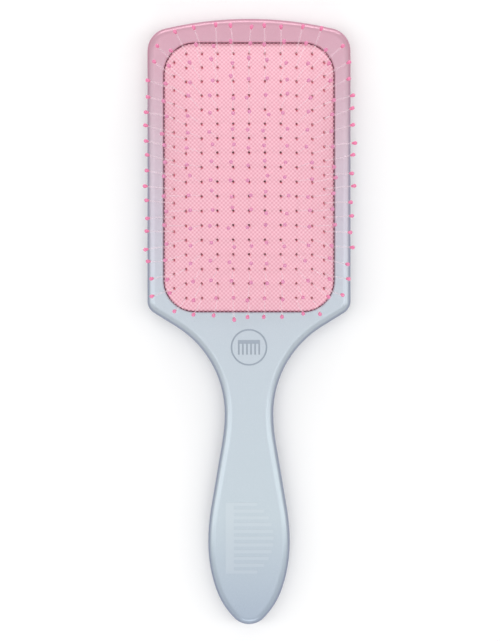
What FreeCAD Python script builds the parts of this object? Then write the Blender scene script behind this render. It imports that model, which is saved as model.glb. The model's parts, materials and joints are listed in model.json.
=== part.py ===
import FreeCAD, Part
import math
import os
import Sketcher
from FreeCAD import Placement, Rotation, Vector

# A paddle hair brush that lies on its back. +Y runs from the handle's end to the top of the head, +Z is
# the way the pins point, X runs across, and the origin is under the middle of the body, on the surface it
# lies on. Sizes are in millimetres and degrees.

SIZES = [
    ("body_length", 265.2, "from the end of the handle to the top of the head"),
    ("head_width", 89.0, "across the head"),
    ("neck_width", 21.3, "across the narrowest place of the handle"),
    ("grip_width", 35.8, "across the widest place of the handle"),
    ("body_thickness", 12.0, "from the back face to the front face"),
    ("parting_height", 6.0, "height of the joint line between the two shells"),
    ("top_radius", 160.0, "radius of the top edge of the head"),
    ("head_corner", 10.0, "radius of the head's upper corners"),
    ("shoulder_slope", 31.7, "angle of the shoulders below the level"),
    ("shoulder_corner", 6.0, "radius where a side meets a shoulder"),
    ("shoulder_radius", 45.0, "hollow radius from a shoulder into the neck"),
    ("neck_radius", 70.0, "hollow radius from the neck into the grip"),
    ("grip_taper", 9.6, "angle of the handle's sides below the neck"),
    ("grip_radius", 90.0, "radius of the grip's sides above its widest place"),
    ("tail_radius", 62.0, "radius of the grip's sides below its widest place"),
    ("tail_turn", 19.0, "angle through which the tail radius turns"),
    ("tail_corner", 34.0, "radius that leads into the handle's end"),
    ("end_radius", 9.0, "radius of the handle's end"),
    ("shell_wall", 2.0, "side wall of both shells"),
    ("face_plate", 2.0, "front wall of the front shell"),
    ("floor_plate", 2.0, "back wall of the back shell"),
    ("front_edge", 3.4, "rounding of the front face's edge"),
    ("back_edge", 5.0, "rounding of the back face's edge"),
    ("lip_width", 0.9, "thickness of the lip that locates the shells"),
    ("lip_height", 1.5, "height of that lip"),
    ("shell_fit", 0.1, "clearance around the lip"),
    ("side_border", 7.1, "from the head's side to the cushion opening"),
    ("top_border", 10.7, "from the head's top to the cushion opening"),
    ("shoulder_overlap", 1.5, "how far the opening reaches below the shoulders' corners"),
    ("opening_corner", 14.0, "corner radius of the cushion opening"),
    ("opening_chamfer", 0.45, "chamfer round the cushion opening"),
    ("cushion_gap", 0.45, "clearance between the opening and the cushion"),
    ("cushion_wall", 1.6, "thickness of the rubber"),
    ("rim_depth", 1.0, "depth of the cushion's rim below the front face"),
    ("dome_rise", 10.0, "rise of the cushion above its rim"),
    ("flange_width", 3.2, "how far the cushion's flange stands out from its skirt"),
    ("flange_thickness", 1.5, "thickness of that flange"),
    ("clamp_thickness", 1.5, "thickness of the clamp frame"),
    ("clamp_reach", 2.4, "how far the clamp frame reaches inside the opening"),
    ("seat_gap", 0.1, "clearance above and below the flange and the clamp frame"),
    ("rest_wall", 1.5, "thickness of the ring that carries the clamp frame"),
    ("rib_thickness", 1.6, "thickness of a rib in the handle"),
    ("rib_width", 14.0, "width of a rib in the handle"),
    ("rib_spacing", 16.0, "distance between the handle's ribs"),
    ("rib_start", 21.0, "from the end of the handle to the first rib"),
    ("rib_gap", 0.2, "clearance between the ribs and the front plate"),
    ("column_margin", 9.55, "from the cushion's side to the outer main column of pins"),
    ("row_margin", 5.8, "from the cushion's bottom to the lowest main row"),
    ("top_row_margin", 4.6, "from the cushion's top to the highest main row"),
    ("edge_margin", 4.25, "from the cushion's side to its edge column of pins"),
    ("edge_inset", 10.1, "from the cushion's bottom to the edge columns' lowest pins"),
    ("top_edge_inset", 8.3, "from the cushion's top to the edge columns' highest pins"),
    ("stem_diameter", 0.7, "diameter of a pin's stem"),
    ("head_diameter", 2.0, "diameter of the head under the cushion"),
    ("head_thickness", 0.6, "thickness of that head"),
    ("head_gap", 0.35, "clearance between the heads and the rubber"),
    ("hole_clearance", 0.12, "clearance round a stem in the rubber"),
    ("pin_reach", 20.5, "length of a pin and its tip outside the cushion"),
    ("tip_diameter", 1.7, "greatest diameter of a ball tip"),
    ("tip_length", 2.6, "length of a ball tip"),
    ("tip_neck", 1.04, "diameter of a ball tip's open end"),
    ("tip_socket", 1.5, "depth of the socket in a ball tip"),
    ("glue_line", 0.03, "clearance between a stem and its ball tip"),
    ("emblem_drop", 16.8, "from the shoulders' corners down to the emblem's centre"),
    ("emblem_radius", 8.0, "outer radius of the emblem's ring"),
    ("emblem_line", 0.7, "width of the emblem's lines"),
    ("emblem_depth", 0.35, "depth of the emblem in the front face"),
    ("comb_length", 9.6, "length of the comb inside the emblem's ring"),
    ("comb_height", 6.4, "height of that comb"),
    ("comb_back", 1.7, "height of the comb's solid back"),
]

# How the cushion's surface falls away from its middle, how far the pins fan out from its normals, and how
# soon that fan closes towards the corners.
FALL_ACROSS = 3.3
FALL_ALONG = 2.7
FAN_ACROSS = 1.1
FAN_ALONG = 1.3
FAN_FADE = 0.55
SURFACE_STEPS = 24

PIN_COLUMNS = 9
PIN_ROWS = 18
EDGE_PINS = 17
COMB_TEETH = 6

doc = FreeCAD.newDocument("PaddleBrush")
sheet = doc.addObject("Spreadsheet::Sheet", "Sizes")
for row, (alias, value, meaning) in enumerate(SIZES, 1):
    sheet.set(f"A{row}", meaning)
    sheet.set(f"B{row}", str(value))
    sheet.setAlias(f"B{row}", alias)
doc.recompute()


class Values:
    """The sheet's sizes as attributes: size.head_width is the cell with that alias."""

    def __getattr__(self, alias):
        return float(sheet.get(alias))


size = Values()


# ---- Outline of the body ----


class Corner:
    """A place where two stretches of the outline meet: a point, and the outward normal's angle there."""

    def __init__(self, centre, radius, angle, hollow=False):
        side = -1 if hollow else 1
        self.angle = angle
        self.x = centre[0] + side * radius * cos(angle)
        self.y = centre[1] + side * radius * sin(angle)

    def inset(self, distance):
        return (self.x - distance * cos(self.angle), self.y - distance * sin(self.angle))


def cos(degrees):
    return math.cos(math.radians(degrees))


def sin(degrees):
    return math.sin(math.radians(degrees))


def tan(degrees):
    return math.tan(math.radians(degrees))


def handle_stretches(neck_y):
    """The handle's side, from the neck's narrowest place to the end: corners and the stretches after them."""
    neck = (size.neck_width / 2 + size.neck_radius, neck_y)
    leave = Corner(neck, size.neck_radius, size.grip_taper, hollow=True)
    reach = size.grip_width / 2 - size.grip_radius * (1 - cos(size.grip_taper))
    fall = (reach - leave.x) / tan(size.grip_taper)
    widest_y = leave.y - fall - size.grip_radius * sin(size.grip_taper)
    grip = (size.grip_width / 2 - size.grip_radius, widest_y)
    tail = (size.grip_width / 2 - size.tail_radius, widest_y)
    step = size.tail_radius - size.tail_corner
    corner = (tail[0] + step * cos(size.tail_turn), tail[1] - step * sin(size.tail_turn))
    close = math.degrees(math.acos(-corner[0] / (size.tail_corner - size.end_radius)))
    end = (0.0, corner[1] - (size.tail_corner - size.end_radius) * sin(close))
    return [
        (Corner(neck, size.neck_radius, 0, hollow=True), neck, "neck_radius", True),
        (leave, None, None, False),
        (Corner(grip, size.grip_radius, size.grip_taper), grip, "grip_radius", False),
        (Corner(grip, size.grip_radius, 0), tail, "tail_radius", False),
        (Corner(tail, size.tail_radius, -size.tail_turn), corner, "tail_corner", False),
        (Corner(corner, size.tail_corner, -close), end, "end_radius", False),
        (Corner(end, size.end_radius, -90), None, None, False),
    ]


def neck_height():
    """Where the neck is narrowest, from the body's length and the handle's own length."""
    return -size.body_length / 2 - handle_stretches(0)[-1][0].y


def shoulder_height():
    """Where the line of a shoulder would meet the straight side of the head."""
    turn = 90 - size.shoulder_slope
    hollow = (size.neck_width / 2 + size.shoulder_radius, neck_height())
    start_x = hollow[0] - size.shoulder_radius * cos(turn)
    start_y = hollow[1] + size.shoulder_radius * sin(turn)
    return start_y + (size.head_width / 2 - start_x) * tan(size.shoulder_slope)


def right_side():
    """The right half of the outline from the top of the head down: each corner with the stretch after it."""
    half = size.head_width / 2
    top = (0.0, size.body_length / 2 - size.top_radius)
    lift = math.sqrt((size.top_radius - size.head_corner) ** 2 - (half - size.head_corner) ** 2)
    corner = (half - size.head_corner, top[1] + lift)
    start = math.degrees(math.atan2(lift, corner[0]))
    turn = 90 - size.shoulder_slope
    bend_y = shoulder_height() + size.shoulder_corner * tan(turn / 2)
    bend = (half - size.shoulder_corner, bend_y)
    hollow = (size.neck_width / 2 + size.shoulder_radius, neck_height())
    return [
        (Corner(top, size.top_radius, 90), top, "top_radius", False),
        (Corner(top, size.top_radius, start), corner, "head_corner", False),
        (Corner(corner, size.head_corner, 0), None, None, False),
        (Corner(bend, size.shoulder_corner, 0), bend, "shoulder_corner", False),
        (Corner(bend, size.shoulder_corner, -turn), None, None, False),
        (Corner(hollow, size.shoulder_radius, -turn, hollow=True), hollow, "shoulder_radius", True),
    ] + handle_stretches(neck_height())


def arc(centre, start, stop):
    """A counter-clockwise arc about a centre, from one point to another."""
    radius = math.hypot(start[0] - centre[0], start[1] - centre[1])
    first = math.atan2(start[1] - centre[1], start[0] - centre[0])
    last = math.atan2(stop[1] - centre[1], stop[0] - centre[0])
    circle = Part.Circle(Vector(*centre, 0), Vector(0, 0, 1), radius)
    return Part.ArcOfCircle(circle, first, last)


def outline(distance):
    """The closed outline drawn in by a distance: geometry, where it is entered and left, radius, hollow."""
    corners = right_side()
    stretches = []
    for (corner, centre, radius, hollow), (following, *_) in zip(corners, corners[1:]):
        start, stop = corner.inset(distance), following.inset(distance)
        stretches.append((start, stop, centre, radius, hollow))
    first, *sides, last = stretches
    pieces = [(mirrored(first[1]), first[1], *first[2:])]
    pieces += sides
    pieces += [(last[0], mirrored(last[0]), *last[2:])]
    for start, stop, centre, radius, hollow in reversed(sides):
        pieces.append((mirrored(stop), mirrored(start), centre and mirrored(centre), radius, hollow))
    drawn = []
    for start, stop, centre, radius, hollow in pieces:
        if centre is None:
            line = Part.LineSegment(Vector(*start, 0), Vector(*stop, 0))
            drawn.append((line, 1, 2, None, False))
        elif hollow:
            drawn.append((arc(centre, start, stop), 1, 2, radius, True))
        else:
            drawn.append((arc(centre, stop, start), 2, 1, radius, False))
    return drawn


def mirrored(point):
    return (-point[0], point[1])


# ---- Sketches ----


def new_body(name):
    body = doc.addObject("PartDesign::Body", name)
    body.Label = name
    return body


def new_sketch(body, name, plane="XY_Plane", height=None):
    """A sketch on one of the body's own planes, raised by an expression of the sheet's sizes."""
    sketch = body.newObject("Sketcher::SketchObject", name)
    support = next(f for f in body.Origin.OriginFeatures if f.Role == plane)
    sketch.AttachmentSupport = (support, "")
    sketch.MapMode = "FlatFace"
    if height:
        sketch.setExpression("AttachmentOffset.Base.z", height)
    return sketch


def draw_outline(sketch, inset="0", distance=0.0):
    """Draws the body's outline drawn in by a distance, which inset gives again as an expression."""
    pieces = outline(distance)
    first = sketch.GeometryCount
    for geometry, *_ in pieces:
        sketch.addGeometry(geometry, False)
    for n, (_, _, leave, _, _) in enumerate(pieces):
        following = (n + 1) % len(pieces)
        enter = pieces[following][1]
        sketch.addConstraint(Sketcher.Constraint("Coincident", first + n, leave, first + following, enter))
    for n, (geometry, _, _, radius, hollow) in enumerate(pieces):
        if radius is None:
            continue
        index = sketch.addConstraint(Sketcher.Constraint("Radius", first + n, geometry.Radius))
        sign = "+" if hollow else "-"
        sketch.setExpression(f"Constraints[{index}]", f"Sizes.{radius} {sign} {inset}")


def rounded_rectangle(half_width, low, high, corner):
    """A rounded rectangle as lines and arcs in order, anticlockwise from its lower edge."""
    inner = half_width - corner
    centres = [(inner, low + corner), (inner, high - corner), (-inner, high - corner), (-inner, low + corner)]
    pieces = []
    for n, centre in enumerate(centres):
        turn = 90.0 * (n - 1)
        start = (centre[0] + corner * cos(turn), centre[1] + corner * sin(turn))
        stop = (centre[0] + corner * cos(turn + 90), centre[1] + corner * sin(turn + 90))
        following = centres[(n + 1) % 4]
        leave = (following[0] + corner * cos(turn + 90), following[1] + corner * sin(turn + 90))
        pieces.append(arc(centre, start, stop))
        pieces.append(Part.LineSegment(Vector(*stop, 0), Vector(*leave, 0)))
    return pieces


def draw_rounded_rectangle(sketch, half_width, low, high, corner, expression):
    """Draws a rounded rectangle whose corner radius follows an expression."""
    first = sketch.GeometryCount
    pieces = rounded_rectangle(half_width, low, high, corner)
    for geometry in pieces:
        sketch.addGeometry(geometry, False)
    for n in range(len(pieces)):
        following = first + (n + 1) % len(pieces)
        sketch.addConstraint(Sketcher.Constraint("Tangent", first + n, 2, following, 1))
    index = sketch.addConstraint(Sketcher.Constraint("Radius", first, corner))
    sketch.setExpression(f"Constraints[{index}]", expression)


def draw_polygon(sketch, points):
    first = sketch.GeometryCount
    for start, stop in zip(points, points[1:] + points[:1]):
        sketch.addGeometry(Part.LineSegment(Vector(*start, 0), Vector(*stop, 0)), False)
    for n in range(len(points)):
        following = first + (n + 1) % len(points)
        sketch.addConstraint(Sketcher.Constraint("Coincident", first + n, 2, following, 1))


def draw_circle(sketch, centre, radius, expression):
    circle = Part.Circle(Vector(*centre, 0), Vector(0, 0, 1), radius)
    index = sketch.addGeometry(circle, False)
    held = sketch.addConstraint(Sketcher.Constraint("Radius", index, radius))
    sketch.setExpression(f"Constraints[{held}]", expression)


# ---- Features ----


def pad(body, sketch, length):
    feature = body.newObject("PartDesign::Pad", sketch.Name + "_pad")
    feature.Profile = sketch
    feature.setExpression("Length", length)
    doc.recompute()
    return feature


def pocket(body, sketch, length, upwards=False):
    """Cuts a sketch into the body, down from its plane or upwards, and makes sure that it cuts."""
    before = body.Shape.Volume
    feature = body.newObject("PartDesign::Pocket", sketch.Name + "_pocket")
    feature.Profile = sketch
    feature.Reversed = upwards
    feature.setExpression("Length", length)
    doc.recompute()
    if body.Shape.Volume >= before:
        raise RuntimeError(f"{feature.Name} cuts nothing")
    return feature


def edges_at(shape, height, keep=None):
    """The names of the edges that lie flat at a height, and that keep accepts."""
    names = []
    for n, edge in enumerate(shape.Edges, 1):
        flat = all(abs(vertex.Z - height) < 1e-4 for vertex in edge.Vertexes)
        level = abs(edge.CenterOfMass.z - height) < 1e-4
        if flat and level and (keep is None or keep(edge)):
            names.append(f"Edge{n}")
    return names


def dress(body, kind, height, expression, keep=None):
    """Fillets or chamfers the edges of the body at a height."""
    base = body.Tip
    feature = body.newObject(f"PartDesign::{kind}", f"{base.Name}_{kind.lower()}")
    feature.Base = (base, edges_at(base.Shape, height, keep))
    feature.setExpression("Radius" if kind == "Fillet" else "Size", expression)
    doc.recompute()
    return feature


# ---- The cushion's opening and its fits ----

opening_half = size.head_width / 2 - size.side_border
opening_low = shoulder_height() - size.shoulder_overlap
opening_high = size.body_length / 2 - size.top_border
cushion_middle = (opening_low + opening_high) / 2
cushion_half = opening_half - size.cushion_gap
cushion_reach = (opening_high - opening_low) / 2 - size.cushion_gap
rim_height = size.body_thickness - size.rim_depth
flange_top = size.body_thickness - size.face_plate - size.seat_gap
flange_low = flange_top - size.flange_thickness
FLANGE_LOW = "Sizes.body_thickness - Sizes.face_plate - Sizes.seat_gap - Sizes.flange_thickness"
CLAMP_LOW = f"{FLANGE_LOW} - Sizes.seat_gap - Sizes.clamp_thickness"


def opening_outline(sketch, outwards, expression):
    """Draws the opening's rounded rectangle, moved outwards by a distance (inwards if below 0)."""
    draw_rounded_rectangle(
        sketch,
        opening_half + outwards,
        opening_low - outwards,
        opening_high + outwards,
        size.opening_corner + outwards,
        f"Sizes.opening_corner + {expression}",
    )


def comb_outline(centre):
    """The emblem's comb: a solid back with teeth below it, as one polygon."""
    left = centre[0] - size.comb_length / 2
    top = centre[1] + size.comb_height / 2
    pitch = (size.comb_length - size.emblem_line) / (COMB_TEETH - 1)
    points = [(left, top)]
    for n in range(COMB_TEETH):
        start = left + n * pitch
        stop = start + size.emblem_line
        if n:
            points.append((start, top - size.comb_back))
        points.append((start, top - size.comb_height))
        points.append((stop, top - size.comb_height))
        if n < COMB_TEETH - 1:
            points.append((stop, top - size.comb_back))
    points.append((left + size.comb_length, top))
    return points


# ---- Front shell ----


def make_front_shell():
    body = new_body("front_shell")
    block = new_sketch(body, "front_outline", height="Sizes.parting_height")
    draw_outline(block)
    pad(body, block, "Sizes.body_thickness - Sizes.parting_height")
    hollow = new_sketch(body, "front_hollow", height="Sizes.parting_height")
    draw_outline(hollow, "Sizes.shell_wall", size.shell_wall)
    pocket(body, hollow, "Sizes.body_thickness - Sizes.parting_height - Sizes.face_plate", upwards=True)
    dress(body, "Fillet", size.body_thickness, "Sizes.front_edge")
    ceiling = size.body_thickness - size.face_plate
    dress(body, "Fillet", ceiling, "Sizes.front_edge - Sizes.shell_wall")
    rebate = new_sketch(body, "front_rebate", height="Sizes.parting_height")
    draw_outline(rebate, "(Sizes.shell_wall - Sizes.lip_width - Sizes.shell_fit)",
                 size.shell_wall - size.lip_width - size.shell_fit)
    pocket(body, rebate, "Sizes.lip_height + Sizes.shell_fit", upwards=True)
    window = new_sketch(body, "cushion_opening", height="Sizes.parting_height")
    opening_outline(window, 0.0, "0")
    pocket(body, window, "Sizes.body_thickness", upwards=True)

    def beside_opening(edge):
        middle = edge.CenterOfMass
        inside = opening_low - 1 < middle.y < opening_high + 1
        return inside and abs(middle.x) < opening_half + 1

    dress(body, "Chamfer", size.body_thickness, "Sizes.opening_chamfer", beside_opening)
    emblem = new_sketch(body, "neck_emblem", height="Sizes.body_thickness")
    centre = (0.0, shoulder_height() - size.emblem_drop)
    draw_circle(emblem, centre, size.emblem_radius, "Sizes.emblem_radius")
    inner = size.emblem_radius - size.emblem_line
    draw_circle(emblem, centre, inner, "Sizes.emblem_radius - Sizes.emblem_line")
    draw_polygon(emblem, comb_outline(centre))
    pocket(body, emblem, "Sizes.emblem_depth")
    return body


# ---- Back shell ----


def make_back_shell():
    body = new_body("back_shell")
    block = new_sketch(body, "back_outline")
    draw_outline(block)
    pad(body, block, "Sizes.parting_height")
    hollow = new_sketch(body, "back_hollow", height="Sizes.parting_height")
    draw_outline(hollow, "Sizes.shell_wall", size.shell_wall)
    pocket(body, hollow, "Sizes.parting_height - Sizes.floor_plate")
    dress(body, "Fillet", 0.0, "Sizes.back_edge")
    dress(body, "Fillet", size.floor_plate, "Sizes.back_edge - Sizes.shell_wall")
    lip = new_sketch(body, "locating_lip", height="Sizes.parting_height")
    draw_outline(lip, "(Sizes.shell_wall - Sizes.lip_width)", size.shell_wall - size.lip_width)
    draw_outline(lip, "Sizes.shell_wall", size.shell_wall)
    pad(body, lip, "Sizes.lip_height")
    rest = new_sketch(body, "clamp_rest", height="Sizes.floor_plate")
    opening_outline(rest, size.rest_wall, "Sizes.rest_wall")
    opening_outline(rest, 0.0, "0")
    pad(body, rest, f"{CLAMP_LOW} - Sizes.seat_gap - Sizes.floor_plate")
    rib = new_sketch(body, "handle_rib", height="Sizes.floor_plate")
    low = size.rib_start - size.body_length / 2
    across = size.rib_width / 2
    high = low + size.rib_thickness
    draw_polygon(rib, [(-across, low), (across, low), (across, high), (-across, high)])
    ribs = pad(body, rib, "Sizes.body_thickness - Sizes.face_plate - Sizes.floor_plate - Sizes.rib_gap")
    room = shoulder_height() - size.emblem_drop - low
    pattern = body.newObject("PartDesign::LinearPattern", "handle_ribs")
    pattern.Originals = [ribs]
    pattern.Direction = (rib, ["V_Axis"])
    pattern.Occurrences = int(room // size.rib_spacing) + 1
    pattern.Length = (pattern.Occurrences - 1) * size.rib_spacing
    body.Tip = pattern
    doc.recompute()
    return body


# ---- Clamp frame ----


def make_clamp_frame():
    body = new_body("cushion_clamp_frame")
    ring = new_sketch(body, "clamp_ring", height=CLAMP_LOW)
    outwards = size.flange_width - size.cushion_gap
    opening_outline(ring, outwards, "Sizes.flange_width - Sizes.cushion_gap")
    opening_outline(ring, -size.clamp_reach, "-Sizes.clamp_reach")
    pad(body, ring, "Sizes.clamp_thickness")
    return body


# ---- Cushion ----


def fall(share, power):
    """How much of the dome's height is left at a share of the way to the rim, and the slope there."""
    return 1 - abs(share) ** power, -power * abs(share) ** (power - 1) * math.copysign(1, share)


def dome(x, y):
    """The cushion's outer surface: its height, and its slopes in x and y."""
    across, across_slope = fall(x / cushion_half, FALL_ACROSS)
    along, along_slope = fall((y - cushion_middle) / cushion_reach, FALL_ALONG)
    height = rim_height + size.dome_rise * across * along
    slope_x = size.dome_rise * across_slope * along / cushion_half
    slope_y = size.dome_rise * across * along_slope / cushion_reach
    return height, slope_x, slope_y


def dome_block(depth):
    """A solid below the dome's surface, or below a surface inside it at a depth along its normals."""
    margin = 1 + 2 * size.cushion_wall / cushion_half
    grid = []
    for i in range(SURFACE_STEPS + 1):
        x = cushion_half * margin * (2 * i / SURFACE_STEPS - 1)
        column = []
        for j in range(SURFACE_STEPS + 1):
            y = cushion_middle + cushion_reach * margin * (2 * j / SURFACE_STEPS - 1)
            height, slope_x, slope_y = dome(x, y)
            normal = Vector(-slope_x, -slope_y, 1).normalize()
            column.append(Vector(x, y, height) - normal * depth)
        grid.append(column)
    surface = Part.BSplineSurface()
    surface.interpolate(grid)
    return surface.toShape().extrude(Vector(0, 0, -2 * size.body_thickness))


def opening_prism(outwards, low, height):
    """An upright prism on the opening's outline, moved outwards by a distance (inwards if below 0)."""
    pieces = rounded_rectangle(
        opening_half + outwards,
        opening_low - outwards,
        opening_high + outwards,
        size.opening_corner + outwards,
    )
    wire = Part.Wire([piece.toShape() for piece in pieces])
    prism = Part.Face(wire).extrude(Vector(0, 0, height))
    prism.translate(Vector(0, 0, low))
    return prism


def make_cushion(pins):
    """The rubber cushion: a dome with a skirt and a flange, hollow below, with a hole for each pin."""
    tall = size.body_thickness + 2 * size.dome_rise
    skin = opening_prism(-size.cushion_gap, flange_low, tall).common(dome_block(0.0))
    outwards = size.flange_width - size.cushion_gap
    flange = opening_prism(outwards, flange_low, size.flange_thickness)
    inside = -size.cushion_gap - size.cushion_wall
    room = opening_prism(inside, flange_low - 1, tall).common(dome_block(size.cushion_wall))
    shape = skin.fuse(flange).cut(room)
    radius = size.stem_diameter / 2 + size.hole_clearance
    below = 2 * size.cushion_wall
    drills = [Part.makeCylinder(radius, 2 * below, foot - way * below, way) for foot, way in pins]
    cushion = doc.addObject("Part::Feature", "cushion_pad")
    cushion.Label = "cushion_pad"
    cushion.Shape = shape.cut(drills)
    cushion.Placement = Placement()
    return cushion


# ---- Pins and ball tips ----


def make_pin_master():
    """One pin along +Z, with its origin where it leaves the cushion's outer surface."""
    body = new_body("pin_master")
    profile = new_sketch(body, "pin_profile", plane="XZ_Plane")
    stem = size.stem_diameter / 2
    head = size.head_diameter / 2
    head_top = -size.cushion_wall - size.head_gap
    head_low = head_top - size.head_thickness
    end = size.pin_reach - size.tip_length + size.tip_socket - size.glue_line
    outer = [(head, head_low), (head, head_top), (stem, head_top), (stem, end)]
    draw_polygon(profile, [(0, head_low), *outer, (0, end)])
    return spun(body, profile)


def make_tip_master():
    """One ball tip along +Z from its open end: a ball that narrows to a neck, with a socket."""
    body = new_body("tip_master")
    profile = new_sketch(body, "tip_profile", plane="XZ_Plane")
    ball = size.tip_diameter / 2
    neck = size.tip_neck / 2
    bore = size.stem_diameter / 2 + size.glue_line
    middle = size.tip_length - ball
    away = math.hypot(neck, middle)
    touch = math.degrees(math.acos(ball / away) - math.atan2(middle, neck))
    meet = (ball * cos(touch), middle + ball * sin(touch))
    top = (0.0, size.tip_length)
    socket = size.tip_socket
    rest = [top, (0.0, socket), (bore, socket), (bore, 0.0), (neck, 0.0), meet]
    profile.addGeometry(arc((0.0, middle), meet, top), False)
    for start, stop in zip(rest, rest[1:]):
        profile.addGeometry(Part.LineSegment(Vector(*start, 0), Vector(*stop, 0)), False)
    for n in range(len(rest)):
        profile.addConstraint(Sketcher.Constraint("Coincident", n, 2, (n + 1) % len(rest), 1))
    held = profile.addConstraint(Sketcher.Constraint("Radius", 0, ball))
    profile.setExpression(f"Constraints[{held}]", "Sizes.tip_diameter / 2")
    return spun(body, profile)


def spun(body, profile):
    feature = body.newObject("PartDesign::Revolution", profile.Name + "_turn")
    feature.Profile = profile
    feature.ReferenceAxis = (profile, ["V_Axis"])
    feature.Angle = 360
    doc.recompute()
    return body


def pin_at(x, y):
    """Where a pin leaves the cushion, and the way it points, fanned out further than the dome's normal."""
    across, across_slope = fall(x / cushion_half, FALL_ACROSS)
    along, along_slope = fall((y - cushion_middle) / cushion_reach, FALL_ALONG)
    lean_x = FAN_ACROSS * size.dome_rise * across_slope / cushion_half * along**FAN_FADE
    lean_y = FAN_ALONG * size.dome_rise * along_slope / cushion_reach * across**FAN_FADE
    return Vector(x, y, dome(x, y)[0]), Vector(-lean_x, -lean_y, 1).normalize()


def spread(reach, low_margin, high_margin, count):
    """Evenly spaced places across the cushion's middle that end a margin inside its reach, low and high."""
    low, high = low_margin - reach, reach - high_margin
    return [low + (high - low) * n / (count - 1) for n in range(count)]


def pin_lines():
    """The lines of pins by name. Main pins form rings of four lines round a centre column."""
    columns = spread(cushion_half, size.column_margin, size.column_margin, PIN_COLUMNS)
    main = spread(cushion_reach, size.row_margin, size.top_row_margin, PIN_ROWS)
    outer = spread(cushion_reach, size.edge_inset, size.top_edge_inset, EDGE_PINS)
    rows = [cushion_middle + y for y in main]
    edge_rows = [cushion_middle + y for y in outer]
    edge = cushion_half - size.edge_margin
    lines = {
        "left_edge": [(-edge, y) for y in edge_rows],
        "right_edge": [(edge, y) for y in edge_rows],
    }
    rings = PIN_COLUMNS // 2
    for ring in range(rings):
        inner_rows = rows[ring + 1:-ring - 1]
        inner_columns = columns[ring:PIN_COLUMNS - ring]
        lines[f"left_{ring + 1}"] = [(columns[ring], y) for y in inner_rows]
        lines[f"right_{ring + 1}"] = [(columns[-ring - 1], y) for y in inner_rows]
        lines[f"top_{ring + 1}"] = [(x, rows[-ring - 1]) for x in inner_columns]
        lines[f"bottom_{ring + 1}"] = [(x, rows[ring]) for x in inner_columns]
    lines["centre"] = [(columns[rings], y) for y in rows[rings:-rings]]
    return {name: [pin_at(x, y) for x, y in places] for name, places in lines.items()}


def place_copies(name, master, pins, along):
    """A node of separate copies of a master, one on each pin, moved along it by a distance."""
    copies = []
    for foot, way in pins:
        copy = master.Shape.copy()
        copy.Placement = Placement(foot + way * along, Rotation(Vector(0, 0, 1), way))
        copies.append(copy)
    node = doc.addObject("Part::Feature", name)
    node.Label = name
    node.Shape = Part.makeCompound(copies)
    node.Placement = Placement()
    return node


# ---- The brush ----


def make_brush():
    lines = pin_lines()
    subparts = [make_front_shell(), make_back_shell(), make_clamp_frame()]
    subparts.append(make_cushion([pin for pins in lines.values() for pin in pins]))
    pin_master = make_pin_master()
    tip_master = make_tip_master()
    for name, pins in lines.items():
        subparts.append(place_copies(f"pins_{name}", pin_master, pins, 0.0))
        subparts.append(place_copies(f"tips_{name}", tip_master, pins, size.pin_reach - size.tip_length))
    return subparts


def write_steps(subparts):
    """Writes each sub-part's solids to parts/, after a look at every object of the document."""
    doc.recompute()
    for thing in doc.Objects:
        if "Invalid" in thing.State or "Error" in thing.State:
            raise RuntimeError(f"{thing.Name} failed: {thing.State}")
    for subpart in subparts:
        if subpart.Shape.isNull() or not subpart.Shape.isValid():
            raise RuntimeError(f"{subpart.Label} has no valid shape")
    os.makedirs("parts", exist_ok=True)
    for subpart in subparts:
        subpart.Shape.exportStep(f"parts/{subpart.Label}.step")


write_steps(make_brush())
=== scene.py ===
import json
import math
import random

import bmesh
import bpy
from mathutils import Matrix, Vector
from mathutils.kdtree import KDTree


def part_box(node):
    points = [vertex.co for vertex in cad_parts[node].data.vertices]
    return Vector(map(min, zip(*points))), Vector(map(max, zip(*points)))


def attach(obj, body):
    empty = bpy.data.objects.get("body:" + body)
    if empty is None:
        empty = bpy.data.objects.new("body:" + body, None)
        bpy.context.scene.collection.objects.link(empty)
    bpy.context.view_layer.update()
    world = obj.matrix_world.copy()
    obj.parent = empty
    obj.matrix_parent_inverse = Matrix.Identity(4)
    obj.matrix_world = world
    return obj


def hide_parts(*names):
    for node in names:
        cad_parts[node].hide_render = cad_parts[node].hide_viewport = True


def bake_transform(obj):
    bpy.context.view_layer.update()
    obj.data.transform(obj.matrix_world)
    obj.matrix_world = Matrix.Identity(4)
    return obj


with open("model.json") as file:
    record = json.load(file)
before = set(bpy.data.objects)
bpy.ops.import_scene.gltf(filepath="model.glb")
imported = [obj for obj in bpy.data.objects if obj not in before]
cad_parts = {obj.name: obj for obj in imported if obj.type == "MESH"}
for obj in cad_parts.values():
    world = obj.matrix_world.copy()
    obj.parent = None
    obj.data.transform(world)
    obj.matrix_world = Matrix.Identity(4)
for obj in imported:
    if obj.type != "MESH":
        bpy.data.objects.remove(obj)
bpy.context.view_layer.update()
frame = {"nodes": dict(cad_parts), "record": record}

# A paddle hair brush on its back. +Y runs from the handle's end to the top of the head.
# +Z is the way that the pins point. Lengths are in metres.
MM = 0.001
TOUCHING = 0.001 * MM

# ---- Sizes ----

# The cushion's dome: its rim's height, its rise, its wall, and how squarely it falls away to the rim.
RIM_Z = 11.0 * MM
DOME_RISE = 10.0 * MM
RUBBER = 1.6 * MM
FALL_ACROSS = 3.3
FALL_ALONG = 2.7

# The cushion's edge: its corners, its gap to the shell, and the flange that lies under the shell's face.
CUSHION_CORNER = 13.55 * MM
CUSHION_GAP = 0.45 * MM
FLANGE_WIDTH = 3.2 * MM
FLANGE_DEPTH = 2.1 * MM
SKIRT_BOTTOM = 8.6 * MM

# What the frame gives.
pad_low, pad_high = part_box("cushion_pad")
FACE_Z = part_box("front_shell")[1].z
CUSHION_HALF = pad_high.x - FLANGE_WIDTH
CUSHION_REACH = (pad_high.y - pad_low.y) / 2 - FLANGE_WIDTH
CUSHION_MIDDLE = (pad_high.y + pad_low.y) / 2

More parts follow.
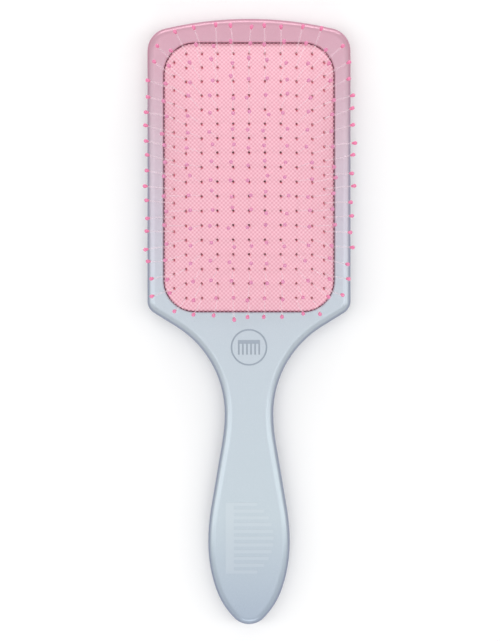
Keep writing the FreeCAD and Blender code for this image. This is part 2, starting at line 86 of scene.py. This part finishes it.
# Painted shade on the body's sides: a deeper tone that starts a little way in from its two faces and is full
# soon after.
# It turns from violet to rose along the head.
SIDE_SHADE_START = 0.2
SIDE_SHADE_RISE = 4.2
SHADE_ROSE_START = 0.07
SHADE_ROSE_RISE = 22.0

# The round emblem on the neck, and how far under the face the painted shade in its grooves starts.
EMBLEM_Y = -11.25 * MM
EMBLEM_REACH = 9.0 * MM
SUNK_SHADE_DEPTH = 0.1 * MM

# The pins, measured from the cushion's surface.
STEM_RADIUS = 0.35 * MM
HOLE_RADIUS = 0.5 * MM
PIN_REACH = 20.5 * MM
TIP_LENGTH = 2.6 * MM
TIP_RADIUS = 0.85 * MM
TIP_NECK = 0.5 * MM
NECK_ROUND = 0.1 * MM

# How far up a stem its red foot reaches, and the heights between which the tips turn lilac.
FOOT_SHADE = 0.9 * MM
LOW_TIPS_Z = 30.0 * MM
HIGH_TIPS_Z = 36.0 * MM

DIMPLE_PITCH = 1.81 * MM
DIMPLE_DEPTH = 0.14 * MM
DIMPLE_SHARPNESS = 1.5
CELLS_PER_DIMPLE = 6


# ---- Finishes ----


class Value:
    """A socket in a finish, with arithmetic that adds Math nodes."""

    def __init__(self, finish, socket):
        self.finish = finish
        self.socket = socket

    def maths(self, operation, *others):
        return self.finish.node("Math", {"operation": operation}, dict(enumerate(others)))

    def __add__(self, other):
        return self.maths("ADD", self, other)

    def __radd__(self, other):
        return self.maths("ADD", other, self)

    def __sub__(self, other):
        return self.maths("SUBTRACT", self, other)

    def __rsub__(self, other):
        return self.maths("SUBTRACT", other, self)

    def __mul__(self, other):
        return self.maths("MULTIPLY", self, other)

    def __truediv__(self, other):
        return self.maths("DIVIDE", self, other)

    def cosine(self):
        return self.maths("COSINE", self)

    def clamped(self):
        return self.maths("MAXIMUM", 0.0, self.maths("MINIMUM", 1.0, self))

    def spread(self, amount):
        """A noise value as a change of up to half an amount either way."""
        return (self - 0.5) * amount


class Finish:
    """A material being made: a Principled shader, and one method that adds any other node.

    Its keywords are the shader's sockets that stay the same all over.
    """

    def __init__(self, name, **constants):
        self.material = bpy.data.materials.new(name)
        self.material.use_nodes = True
        self.tree = self.material.node_tree
        self.shader = self.tree.nodes["Principled BSDF"]
        for socket, value in constants.items():
            self.shader.inputs[socket.replace("_", " ")].default_value = value

    def feed(self, socket, value):
        if isinstance(value, Value):
            self.tree.links.new(value.socket, socket)
        else:
            socket.default_value = value

    def node(self, kind, settings=None, sockets=None, output=0):
        node = self.tree.nodes.new("ShaderNode" + kind)
        for name, value in (settings or {}).items():
            if name == "stops":
                ramp = node.color_ramp.elements
                while len(ramp) < len(value):
                    ramp.new(1.0)
                for element, (place, colour) in zip(ramp, value):
                    element.position = place
                    element.color = colour
            else:
                setattr(node, name, value)
        for name, value in (sockets or {}).items():
            self.feed(node.inputs[name], value)
        return Value(self, node.outputs[output])

    def place(self):
        """The Object coordinates, as a vector and as x, y and z."""
        vector = self.node("TexCoord", output="Object")
        parts = [self.node("SeparateXYZ", sockets={0: vector}, output=n) for n in range(3)]
        return vector, *parts

    def noise(self, vector, scale, detail):
        return self.node("TexNoise", sockets={"Vector": vector, "Scale": scale, "Detail": detail})

    def attribute(self, name):
        return self.node("Attribute", {"attribute_name": name}, output="Fac")

    def blend(self, factor, first, second):
        """Mixes two colours."""
        settings = {"data_type": "RGBA"}
        return self.node("Mix", settings, {"Factor": factor, 6: first, 7: second}, output=2)

    def bump(self, height, distance, strength):
        return self.node("Bump", {}, {"Height": height, "Distance": distance, "Strength": strength})

    def show(self, **links):
        """Feeds the shader's own sockets with what changes over the surface, and gives back the material."""
        for socket, value in links.items():
            self.feed(self.shader.inputs[socket.replace("_", " ")], value)
        return self.material


def screen(red, green, blue):
    """A colour given as it looks on a screen, 0 to 255, as the opaque linear colour that shaders use."""
    linear = (((c / 255 + 0.055) / 1.055) ** 2.4 for c in (red, green, blue))
    return (*linear, 1.0)


# The body's fade, as distances along the brush and colours; the slate at the handle's end is the blue fade
# deepened by painted shade where the end curves away.
TAIL_SHADE_SLATE = screen(162, 175, 191)
PALE_BLUE = screen(186, 198, 206)
ICE_BLUE = screen(184, 194, 203)
LAVENDER = screen(190, 185, 197)
MAUVE = screen(201, 179, 191)
ROSE = screen(208, 158, 175)
# The colours of the painted shade on the body's sides.
SHADE_VIOLET = screen(82, 90, 128)
SHADE_ROSE = screen(166, 92, 122)
FADE = [
    (-0.132, TAIL_SHADE_SLATE),
    (-0.085, PALE_BLUE),
    (0.01, ICE_BLUE),
    (0.042, LAVENDER),
    (0.08, MAUVE),
    (0.13, ROSE),
]

# The colours of everything else.
# Painted shade in the emblem's grooves.
SUNK_SHADE_BLUE = screen(108, 120, 142)
BARE_PALE = screen(214, 218, 224)
BARE_GREY = screen(200, 205, 213)
RUBBER_PINK = screen(252, 206, 217)
RUBBER_WARM = screen(249, 198, 210)
# Painted shade in the dimples.
DIMPLE_SHADE_PINK = screen(226, 160, 177)
CRESCENT_RED = screen(205, 84, 104)
# Painted shadow along the rim.
RIM_SHADOW_PLUM = screen(146, 76, 98)
# Painted shade inside the holes.
HOLE_SHADE_RED = screen(168, 44, 64)
NYLON_PALE = screen(255, 246, 250)
NYLON_BLUSH = screen(252, 236, 243)
FOOT_RED = screen(205, 56, 78)
HOT_PINK = screen(250, 136, 178)
HOT_ROSE = screen(242, 128, 176)
SOFT_LILAC = screen(236, 152, 190)
DEEP_LILAC = screen(226, 148, 194)
FLOOR_PALE = (0.87, 0.87, 0.87, 1.0)
FLOOR_PALER = (0.89, 0.89, 0.89, 1.0)

# How strongly each mark in a finish shows, from 0 to 1; the sunk, side and rim marks are painted shade.
# Specks show above a level of their noise.
SPECK_LEVEL = 0.62
SPECK_RISE = 6.0
SPECK_TONE = 0.35
SUNK_SHADE_TONE = 0.45
SIDE_SHADE_TONE = 0.62
CRESCENT_TONE = 0.85
RIM_SHADOW_TONE = 0.75
RIM_SHADOW_BREAKS = 0.9

# How solid the clear nylon looks: the stems, with streaks and a solid foot, and the tips, clearer inwards.
STEM_ALPHA = 0.11
STREAK_ALPHA = 0.1
FOOT_ALPHA = 1.4
TIP_ALPHA = 0.92
INNER_CLEARER = 0.22


def faded(finish, along, lift=0.0):
    """The body's colour at a distance along the brush, lifted towards white."""
    low, high = FADE[0][0], FADE[-1][0]
    stops = []
    for place, colour in FADE:
        paler = tuple(c + (1 - c) * lift for c in colour)
        stops.append(((place - low) / (high - low), paler))
    share = (along - low) / (high - low)
    return finish.node("ValToRGB", {"stops": stops}, {0: share})


def satin_plastic():
    """The shells' satin plastic: the fade, faint clouding and mica specks, a fine moulded grain, and painted
    shade in the emblem's grooves and along the sides.
    """
    finish = Finish("satin_fade_plastic", IOR=1.46, Metallic=0.25)
    vector, across, along, height = finish.place()
    cloud = finish.noise(vector, scale=45.0, detail=3.0)
    specks = finish.noise(vector, scale=5200.0, detail=0.0)
    grain = finish.noise(vector, scale=2600.0, detail=3.0)
    base = faded(finish, along + cloud.spread(0.006))
    paler = faded(finish, along, lift=0.3)
    glitter = ((specks - SPECK_LEVEL) * SPECK_RISE).clamped() * SPECK_TONE
    # Painted shade: the emblem's grooves, below the face, are darkened towards slate blue.
    above = along - EMBLEM_Y
    near_emblem = ((EMBLEM_REACH**2 - across * across - above * above) * (1 / MM**2)).clamped()
    sunk_shade = ((FACE_Z - SUNK_SHADE_DEPTH - height) * (1 / SUNK_SHADE_DEPTH)).clamped() * near_emblem
    colour = finish.blend(glitter, base, paler)
    colour = finish.blend(sunk_shade * SUNK_SHADE_TONE, colour, SUNK_SHADE_BLUE)
    # Painted shade: the sides between the two faces are darkened towards a deep violet and rose.
    level = height * (1 / FACE_Z)
    side = ((level * (1 - level) * 4 - SIDE_SHADE_START) * SIDE_SHADE_RISE).clamped()
    side_shade_colour = finish.blend(((along - SHADE_ROSE_START) * SHADE_ROSE_RISE).clamped(), SHADE_VIOLET, SHADE_ROSE)
    colour = finish.blend(side * SIDE_SHADE_TONE, colour, side_shade_colour)
    return finish.show(
        Base_Color=colour,
        Roughness=0.3 + cloud.spread(0.08) + grain.spread(0.08),
        Normal=finish.bump(grain, distance=0.02 * MM, strength=0.25),
    )


def relief_plastic():
    """The handle mark's plastic: the same fade, a little paler and smoother."""
    finish = Finish("pale_fade_plastic", IOR=1.46, Metallic=0.25)
    vector, _, along, _ = finish.place()
    grain = finish.noise(vector, scale=2600.0, detail=3.0)
    return finish.show(
        Base_Color=faded(finish, along + grain.spread(0.004), lift=0.075),
        Roughness=0.3 + grain.spread(0.1),
        Normal=finish.bump(grain, distance=0.02 * MM, strength=0.2),
    )


def inner_plastic():
    finish = Finish("bare_moulded_plastic", IOR=1.46)
    vector, _, _, _ = finish.place()
    cloud = finish.noise(vector, scale=90.0, detail=4.0)
    grain = finish.noise(vector, scale=2000.0, detail=2.0)
    colour = finish.blend(cloud, BARE_PALE, BARE_GREY)
    return finish.show(
        Base_Color=colour,
        Roughness=0.45 + grain.spread(0.15),
        Normal=finish.bump(grain, distance=0.03 * MM, strength=0.3),
    )


def cushion_rubber():
    """Soft pink rubber, with a net of dimples darkened by painted shade, a red crescent by each pin's hole,
    painted shade inside the holes and a dark broken rim of painted shadow.
    """
    finish = Finish("dimpled_pink_rubber", IOR=1.5, Specular_IOR_Level=0.3)
    vector, across, along, _ = finish.place()
    turn = 2 * math.pi / DIMPLE_PITCH
    wave = (across * turn).cosine() * ((along - CUSHION_MIDDLE) * turn).cosine()
    dimple = (wave * 0.5 + 0.5).clamped()
    cloud = finish.noise(vector, scale=60.0, detail=3.0)
    grain = finish.noise(vector, scale=3500.0, detail=2.0)
    pink = finish.blend(cloud, RUBBER_PINK, RUBBER_WARM)
    # Painted shade: the dimples are a darker pink.
    dimple_shaded = finish.blend(dimple, pink, DIMPLE_SHADE_PINK)
    crescent = finish.attribute("near_hole") * CRESCENT_TONE
    red = finish.blend(crescent, dimple_shaded, CRESCENT_RED)
    # Painted shadow: a dark broken line along the rim, where the rubber meets the shell.
    rim_shadow = finish.attribute("near_rim") * (wave * RIM_SHADOW_BREAKS + RIM_SHADOW_TONE).clamped()
    rim_shadowed = finish.blend(rim_shadow, red, RIM_SHADOW_PLUM)
    # Painted shade: the inside of each hole is dark red.
    hole_shade = finish.attribute("in_hole")
    return finish.show(
        Base_Color=finish.blend(hole_shade, rim_shadowed, HOLE_SHADE_RED),
        Roughness=0.5 + grain.spread(0.2) + dimple * 0.15,
        Normal=finish.bump(grain, distance=0.03 * MM, strength=0.25),
    )


def stem_nylon():
    """The pins' clear nylon, which shows dark red where it leaves the rubber."""
    finish = Finish("clear_nylon", IOR=1.45, Specular_IOR_Level=0.12)
    vector, _, _, _ = finish.place()
    streak = finish.noise(vector, scale=900.0, detail=2.0)
    foot = ((FOOT_SHADE - finish.attribute("up")) * (1 / FOOT_SHADE)).clamped()
    clear = finish.blend(streak, NYLON_PALE, NYLON_BLUSH)
    return finish.show(
        Base_Color=finish.blend(foot, clear, FOOT_RED),
        Roughness=0.16 + streak.spread(0.15),
        Alpha=(STEM_ALPHA + streak * STREAK_ALPHA + foot * FOOT_ALPHA).clamped(),
    )


def tip_nylon():
    """The ball tips' nylon: hot pink on the low outer pins, paler and more lilac on the high inner ones."""
    finish = Finish("hot_pink_nylon", IOR=1.5, Coat_Weight=0.3, Coat_Roughness=0.2)
    vector, _, _, height = finish.place()
    batch = finish.noise(vector, scale=160.0, detail=1.0)
    skin = finish.noise(vector, scale=2200.0, detail=2.0)
    inner = ((height - LOW_TIPS_Z) * (1 / (HIGH_TIPS_Z - LOW_TIPS_Z))).clamped()
    hot = finish.blend(batch, HOT_PINK, HOT_ROSE)
    lilac = finish.blend(batch, SOFT_LILAC, DEEP_LILAC)
    return finish.show(
        Base_Color=finish.blend(inner, hot, lilac),
        Roughness=0.24 + skin.spread(0.15),
        Alpha=TIP_ALPHA - inner * INNER_CLEARER,
        Normal=finish.bump(skin, distance=0.04 * MM, strength=0.3),
    )


# ---- Meshes ----


def unit(value):
    """A number kept between 0 and 1."""
    return min(1.0, max(0.0, value))


def placed(name, data):
    """A new object in the scene."""
    thing = bpy.data.objects.new(name, data)
    bpy.context.scene.collection.objects.link(thing)
    return thing


def drawn(name, mesh):
    """A new object in the scene made from a bmesh, which is used up."""
    data = bpy.data.meshes.new(name)
    mesh.to_mesh(data)
    mesh.free()
    return placed(name, data)


def shade(data, sharp=None):
    """Shades a mesh smooth, apart from edges sharper than an angle in degrees."""
    data.shade_smooth()
    if sharp is not None:
        data.set_sharp_from_angle(angle=math.radians(sharp))


def finished(name, mesh, material, sharp=None):
    """Makes a piece from a bmesh."""
    piece = drawn(name, mesh)
    piece.data.materials.append(material)
    shade(piece.data, sharp)
    return piece


def verts_among(grown):
    """The vertices among what an extrusion made."""
    return [item for item in grown if isinstance(item, bmesh.types.BMVert)]


def fall(share, power):
    """How much of the dome's height is left at a share of the way to the rim, and the slope there."""
    return 1 - abs(share) ** power, -power * abs(share) ** (power - 1) * math.copysign(1, share)


def dome(x, y):
    """The cushion's surface: its height, and its normal."""
    across, across_slope = fall(x / CUSHION_HALF, FALL_ACROSS)
    along, along_slope = fall((y - CUSHION_MIDDLE) / CUSHION_REACH, FALL_ALONG)
    slope_x = DOME_RISE * across_slope * along / CUSHION_HALF
    slope_y = DOME_RISE * across * along_slope / CUSHION_REACH
    return RIM_Z + DOME_RISE * across * along, Vector((-slope_x, -slope_y, 1)).normalized()


# ---- Pins ----

BODIES = frame["record"]["behaviour"]["bodies"]
LINES = [name.removeprefix("line_") for name in BODIES if name.startswith("line_")]
STEM_SIDES = 6
STEM_STEPS = 6
TIP_SIDES = 10
BALL_STEPS = 5
END_SLICE = 0.05 * MM
UNDER_RUBBER = 0.35 * MM
HEAD_THICKNESS = 0.6 * MM
HEAD_RADIUS = 1.0 * MM
MOST_LEAN = 1.5 * MM
chance = random.Random(12)


def loose_solids(node):
    """The separate solids of a CAD node, as lists of points."""
    mesh = bmesh.new()
    mesh.from_mesh(frame["nodes"][node].data)
    bmesh.ops.remove_doubles(mesh, verts=mesh.verts, dist=TOUCHING)
    left = set(mesh.verts)
    solids = []
    for vertex in mesh.verts:
        if vertex not in left:
            continue
        left.remove(vertex)
        reached, solid = [vertex], []
        while reached:
            here = reached.pop()
            solid.append(here.co.copy())
            near = {edge.other_vert(here) for edge in here.link_edges} & left
            left -= near
            reached += near
        solids.append(solid)
    mesh.free()
    return solids


def mean(points):
    return sum(points, Vector()) / len(points)


def pin_axis(solid):
    """Where a pin leaves the cushion and the way it points, from its CAD solid's two flat ends."""
    low = min(solid, key=lambda point: point.z)
    high = max(solid, key=lambda point: point.z)
    for _ in range(3):
        way = (high - low).normalized()
        heights = [point.dot(way) for point in solid]
        low = mean([p for p, h in zip(solid, heights) if h < min(heights) + END_SLICE])
        high = mean([p for p, h in zip(solid, heights) if h > max(heights) - END_SLICE])
    way = (high - low).normalized()
    return low + way * (RUBBER + UNDER_RUBBER + HEAD_THICKNESS), way


class Pin:
    """One pin: its foot on the cushion, the way it points, and how far its end has bent aside."""

    def __init__(self, foot, way):
        self.foot = foot
        self.way = way
        aside = Vector((chance.gauss(0, 1), chance.gauss(0, 1), 0))
        aside -= way * aside.dot(way)
        self.lean = aside.normalized() * MOST_LEAN * math.sqrt(chance.random())

    def carry(self, verts):
        """Moves points drawn along +Z onto the pin's bent line."""
        for vert in verts:
            share = max(0.0, vert.co.z / PIN_REACH)
            along = self.way + self.lean * (2 * share / PIN_REACH)
            turn = along.to_track_quat("Z", "Y").to_matrix()
            centre = self.foot + self.way * vert.co.z + self.lean * share**2
            vert.co = centre + turn @ Vector((vert.co.x, vert.co.y, 0))


def turned(mesh, profile, sides):
    """Turns a profile of (radius, height) points about Z into a closed shape and gives back its vertices."""
    before = set(mesh.verts)
    verts = [mesh.verts.new((radius, 0, height)) for radius, height in profile]
    edges = [mesh.edges.new(pair) for pair in zip(verts, verts[1:])]
    bmesh.ops.spin(
        mesh,
        geom=verts + edges,
        cent=(0, 0, 0),
        axis=(0, 0, 1),
        angle=2 * math.pi,
        steps=sides,
        use_merge=True,
    )
    made = [vert for vert in mesh.verts if vert not in before]
    bmesh.ops.remove_doubles(mesh, verts=made, dist=TOUCHING)
    return [vert for vert in mesh.verts if vert not in before]


def stem_profile():
    """The head under the rubber and the stem, which ends inside the ball tip."""
    top = -RUBBER - UNDER_RUBBER
    low = top - HEAD_THICKNESS
    end = PIN_REACH - TIP_LENGTH / 2
    points = [(0, low), (HEAD_RADIUS, low), (HEAD_RADIUS, top), (STEM_RADIUS, top)]
    points += [(STEM_RADIUS, end * n / STEM_STEPS) for n in range(STEM_STEPS + 1)]
    return points + [(0, end)]


def tip_profile():
    """A ball that narrows to a neck, as a drop does."""
    middle = PIN_REACH - TIP_RADIUS
    low = PIN_REACH - TIP_LENGTH
    rise = middle - low
    touch = math.acos(TIP_RADIUS / math.hypot(TIP_NECK, rise)) - math.atan2(rise, TIP_NECK)
    points = [(0, low), (TIP_NECK - NECK_ROUND, low), (TIP_NECK, low + NECK_ROUND)]
    for n in range(BALL_STEPS):
        angle = touch + (math.pi / 2 - touch) * n / BALL_STEPS
        points.append((TIP_RADIUS * math.cos(angle), middle + TIP_RADIUS * math.sin(angle)))
    return points + [(0, PIN_REACH)]


def make_on_pins(name, pins, profile, sides, material):
    """One piece with a turned shape on every pin of a line."""
    mesh = bmesh.new()
    up = mesh.verts.layers.float.new("up")
    for pin in pins:
        verts = turned(mesh, profile, sides)
        for vert in verts:
            vert[up] = vert.co.z
        pin.carry(verts)
    bmesh.ops.recalc_face_normals(mesh, faces=mesh.faces)
    return finished(name, mesh, material, sharp=60)


def make_pins():
    """The stems and ball tips of every line, each riding on its line's body; gives back all the pins."""
    stems, tips = stem_nylon(), tip_nylon()
    everyone = []
    for line in LINES:
        pins = [Pin(*pin_axis(solid)) for solid in loose_solids(f"pins_{line}")]
        stem = make_on_pins(f"stems_{line}", pins, stem_profile(), STEM_SIDES, stems)
        tip = make_on_pins(f"balls_{line}", pins, tip_profile(), TIP_SIDES, tips)
        for piece, node in ((stem, f"pins_{line}"), (tip, f"tips_{line}")):
            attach(piece, f"line_{line}")
            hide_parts(node)
        everyone += pins
    return everyone


# ---- Cushion ----

RIM_ROLL = [(0.12 * MM, -0.1 * MM), (0.2 * MM, -0.35 * MM)]
FADE_TO_RIM = 0.7 * MM
ROOM_STEPS = 40
CUT_PAST = 1.0 * MM
HOLE_SIDES = 12
HOLE_SLACK = 1.05
HOLE_MOUTH = 0.35 * MM
CRESCENT_RADIUS = 0.62 * MM
CRESCENT_ASIDE = Vector((0.22 * MM, -0.5 * MM, 0))
# The width of the painted shadow along the rim.
RIM_SHADOW_WIDTH = 0.4 * MM


def outside(x, y):
    """How far a point is outside the cushion's rounded rectangle, and the way straight out from it."""
    flat_x, flat_y = CUSHION_HALF - CUSHION_CORNER, CUSHION_REACH - CUSHION_CORNER
    over = Vector((max(0.0, abs(x) - flat_x), max(0.0, abs(y - CUSHION_MIDDLE) - flat_y)))
    if over.length < 1e-9:
        return -CUSHION_CORNER, Vector((1, 0))
    signs = math.copysign(1, x), math.copysign(1, y - CUSHION_MIDDLE)
    return over.length - CUSHION_CORNER, Vector((over.x * signs[0], over.y * signs[1])).normalized()


def dome_sheet(mesh, cells, inset=0.0):
    """A grid over the cushion, trimmed to its rounded rectangle, drawn in by an inset."""
    half, reach = CUSHION_HALF - inset, CUSHION_REACH - inset
    counts = [math.ceil(2 * half / cells), math.ceil(2 * reach / cells)]
    bmesh.ops.create_grid(mesh, x_segments=counts[0], y_segments=counts[1], size=1.0)
    for vert in mesh.verts:
        vert.co = Vector((vert.co.x * half, CUSHION_MIDDLE + vert.co.y * reach, 0))
    stray = []
    for face in mesh.faces:
        middle = face.calc_center_median()
        if outside(middle.x, middle.y)[0] > -inset:
            stray.append(face)
    bmesh.ops.delete(mesh, geom=stray, context="FACES")
    for edge in rim_edges(mesh):
        for vert in edge.verts:
            distance, way = outside(vert.co.x, vert.co.y)
            vert.co.xy -= way * (distance + inset)


def rim_edges(mesh):
    return [edge for edge in mesh.edges if edge.is_boundary]


def step_out(mesh, outwards, height=None, drop=0.0):
    """Draws the sheet's rim on: outwards, and down by a drop or to a height."""
    grown = bmesh.ops.extrude_edge_only(mesh, edges=rim_edges(mesh))["geom"]
    for vert in verts_among(grown):
        vert.co.xy += outside(vert.co.x, vert.co.y)[1] * outwards
        vert.co.z = vert.co.z - drop if height is None else height


def closed_below(mesh):
    """Closes the underside and turns every face outwards."""
    bmesh.ops.holes_fill(mesh, edges=rim_edges(mesh), sides=0)
    bmesh.ops.recalc_face_normals(mesh, faces=mesh.faces)


def rubber_block():
    """The cushion's outside: a dimpled dome with a rolled rim, a skirt and a flange."""
    mesh = bmesh.new()
    dome_sheet(mesh, DIMPLE_PITCH / CELLS_PER_DIMPLE)
    turn = 2 * math.pi / DIMPLE_PITCH
    for vert in mesh.verts:
        x, y = vert.co.x, vert.co.y
        height, normal = dome(x, y)
        wave = math.cos(x * turn) * math.cos((y - CUSHION_MIDDLE) * turn)
        fade = unit(-outside(x, y)[0] / FADE_TO_RIM)
        depth = DIMPLE_DEPTH * fade * (0.5 + 0.5 * wave) ** DIMPLE_SHARPNESS
        vert.co = Vector((x, y, height)) - normal * depth
    for outwards, drop in RIM_ROLL:
        step_out(mesh, outwards, drop=-drop)
    flange_top = FACE_Z - FLANGE_DEPTH
    step_out(mesh, 0.0, height=flange_top)
    step_out(mesh, FLANGE_WIDTH - CUSHION_GAP, height=flange_top)
    step_out(mesh, 0.0, height=SKIRT_BOTTOM)
    closed_below(mesh)
    return mesh


def air_room():
    """The hollow under the rubber, as a closed shape to cut away."""
    mesh = bmesh.new()
    dome_sheet(mesh, 2 * CUSHION_HALF / ROOM_STEPS, RUBBER)
    for vert in mesh.verts:
        height, normal = dome(vert.co.x, vert.co.y)
        vert.co = Vector((vert.co.x, vert.co.y, height)) - normal * RUBBER
    step_out(mesh, 0.0, height=SKIRT_BOTTOM - CUT_PAST)
    closed_below(mesh)
    return mesh


def pin_drills(pins):
    """A closed cylinder along every pin's foot."""
    mesh = bmesh.new()
    for pin in pins:
        turn = pin.way.to_track_quat("Z", "Y").to_matrix().to_4x4()
        bmesh.ops.create_cone(
            mesh,
            cap_ends=True,
            segments=HOLE_SIDES,
            radius1=HOLE_RADIUS,
            radius2=HOLE_RADIUS,
            depth=5 * RUBBER,
            matrix=Matrix.Translation(pin.foot) @ turn,
        )
    return mesh


def cut_away(piece, tool_mesh):
    """Cuts a closed shape out of a piece and applies the cut."""
    tool = drawn("tool", tool_mesh)
    cut = piece.modifiers.new("cut", "BOOLEAN")
    cut.operation = "DIFFERENCE"
    cut.solver = "MANIFOLD"
    cut.object = tool
    shown = piece.evaluated_get(bpy.context.evaluated_depsgraph_get())
    result = bpy.data.meshes.new_from_object(shown)
    piece.modifiers.clear()
    piece.data = result
    bpy.data.objects.remove(tool)


def mark_rubber(piece, pins):
    """Writes how near each point is to a hole's crescent and to the rim, and whether it is inside a hole."""
    feet = KDTree(len(pins))
    for n, pin in enumerate(pins):
        feet.insert(pin.foot, n)
    feet.balance()
    near, within, rim_shadow = [], [], []
    for vert in piece.data.vertices:
        foot, n, _ = feet.find(vert.co)
        away = vert.co - foot
        depth = away.dot(pins[n].way)
        radius = (away - pins[n].way * depth).length
        near.append(unit(2 - 2 * (away - CRESCENT_ASIDE).length / CRESCENT_RADIUS))
        rim_shadow.append(unit(1.5 + 1.5 * outside(vert.co.x, vert.co.y)[0] / RIM_SHADOW_WIDTH))
        within.append(float(radius < HOLE_RADIUS * HOLE_SLACK and depth < -HOLE_MOUTH))
    for name, values in (("near_hole", near), ("in_hole", within), ("near_rim", rim_shadow)):
        piece.data.attributes.new(name, "FLOAT", "POINT").data.foreach_set("value", values)


def make_cushion(pins):
    cushion = finished("rubber_cushion", rubber_block(), cushion_rubber())
    cut_away(cushion, air_room())
    cut_away(cushion, pin_drills(pins))
    shade(cushion.data, sharp=50)
    mark_rubber(cushion, pins)
    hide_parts("cushion_pad")
    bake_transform(cushion)


# ---- Handle mark ----

MARK_MIDDLE = Vector((0.3 * MM, -94.5 * MM))
MARK_LENGTH = 31.0 * MM
MARK_BACK = 3.6 * MM
MARK_TEETH = 11
MARK_WIDTH = 21.0 * MM
MARK_OVAL = 0.72
MARK_HEIGHT = 0.16 * MM
MARK_BEVEL = 0.35 * MM


def make_handle_mark():
    """A raised comb on the handle: a back along one side, with teeth whose ends follow an oval."""
    mesh = bmesh.new()
    columns = 2 * MARK_TEETH - 1
    bmesh.ops.create_grid(mesh, x_segments=columns, y_segments=1, size=0.5)
    for vert in mesh.verts:
        vert.co = Vector((vert.co.y * MARK_BACK, vert.co.x * MARK_LENGTH, 0))
    front = [edge for edge in rim_edges(mesh) if all(vert.co.x > 0 for vert in edge.verts)]
    front.sort(key=lambda edge: sum(vert.co.y for vert in edge.verts))
    for edge in front[::2]:
        middle = sum(vert.co.y for vert in edge.verts) / MARK_LENGTH
        length = (MARK_WIDTH - MARK_BACK) * math.sqrt(1 - MARK_OVAL * middle**2)
        grown = bmesh.ops.extrude_edge_only(mesh, edges=[edge])["geom"]
        bmesh.ops.translate(mesh, verts=verts_among(grown), vec=(length, 0, 0))
    shift = Vector((MARK_MIDDLE.x - MARK_WIDTH / 2 + MARK_BACK / 2, MARK_MIDDLE.y, FACE_Z))
    bmesh.ops.translate(mesh, verts=mesh.verts, vec=shift)
    base = mesh.faces[:]
    grown = bmesh.ops.extrude_face_region(mesh, geom=base, use_keep_orig=True)["geom"]
    bmesh.ops.translate(mesh, verts=verts_among(grown), vec=(0, 0, MARK_HEIGHT))
    bmesh.ops.recalc_face_normals(mesh, faces=mesh.faces)
    upright = [edge for edge in mesh.edges if abs(edge.verts[0].co.z - edge.verts[1].co.z) > MARK_HEIGHT / 2]
    bmesh.ops.bevel(
        mesh,
        geom=upright,
        offset=MARK_BEVEL,
        offset_type="OFFSET",
        affect="EDGES",
        segments=3,
        profile=0.5,
        material=-1,
    )
    mark = finished("handle_comb_mark", mesh, relief_plastic(), sharp=40)
    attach(mark, "brush_body")


# ---- Shells ----


def finish_shells():
    satin, bare = satin_plastic(), inner_plastic()
    for node, material in (("front_shell", satin), ("back_shell", satin), ("cushion_clamp_frame", bare)):
        data = frame["nodes"][node].data
        data.materials.clear()
        data.materials.append(material)


# ---- Stage, light and camera ----

FACE_DISTANCE = 777.0 * MM
WORLD_STRENGTH = 0.46
OVERHEAD_POWER = 3.3
BOX_POWER = 4.1
STRIP_POWER = 2.1
TAIL_POWER = 1.4
FLOOR_GLOW = 0.08
FLOOR_REACH = 3.0
CAMERA_MIDDLE = Vector((0.44 * MM, 0.44 * MM))


def make_floor():
    mesh = bmesh.new()
    bmesh.ops.create_grid(mesh, x_segments=1, y_segments=1, size=FLOOR_REACH)
    finish = Finish("pale_floor", Specular_IOR_Level=0.1, Emission_Strength=FLOOR_GLOW, Roughness=0.9)
    vector, _, _, _ = finish.place()
    cloud = finish.noise(vector, scale=3.0, detail=2.0)
    pale = finish.blend(cloud, FLOOR_PALE, FLOOR_PALER)
    material = finish.show(Base_Color=pale)
    finish.shader.inputs["Emission Color"].default_value = (1, 1, 1, 1)
    floor = drawn("floor", mesh)
    floor.data.materials.append(material)


def add_light(name, place, size, power):
    """An oblong lamp that faces the brush's middle and isn't seen itself."""
    lamp = bpy.data.lights.new(name, "AREA")
    lamp.shape = "RECTANGLE"
    lamp.size, lamp.size_y = size
    lamp.energy = power
    light = placed(name, lamp)
    light.location = place
    light.rotation_euler = (Vector() - Vector(place)).to_track_quat("-Z", "Y").to_euler()
    light.visible_camera = False


def make_light():
    world = bpy.data.worlds.new("studio")
    world.use_nodes = True
    world.node_tree.nodes["Background"].inputs["Color"].default_value = (1, 1, 1, 1)
    world.node_tree.nodes["Background"].inputs["Strength"].default_value = WORLD_STRENGTH
    bpy.context.scene.world = world
    add_light("overhead_box", place=(0, -0.02, 1.2), size=(0.9, 1.9), power=OVERHEAD_POWER)
    for name, side in (("left_box", -1), ("right_box", 1)):
        add_light(name, place=(side * 0.78, -0.02, 0.9), size=(0.42, 1.5), power=BOX_POWER)
    add_light("top_strip", place=(0, 0.75, 0.17), size=(0.9, 0.16), power=STRIP_POWER)
    add_light("tail_strip", place=(0, -0.8, 0.45), size=(0.6, 0.2), power=TAIL_POWER)


def make_camera():
    lens = bpy.data.cameras.new("camera")
    lens.lens = 100
    lens.sensor_width = 36
    camera = placed("camera", lens)
    camera.location = (CAMERA_MIDDLE.x, CAMERA_MIDDLE.y, FACE_Z + FACE_DISTANCE)
    bpy.context.scene.camera = camera
    bpy.context.scene.view_settings.view_transform = "Standard"


finish_shells()
make_cushion(make_pins())
make_handle_mark()
make_floor()
make_light()
make_camera()
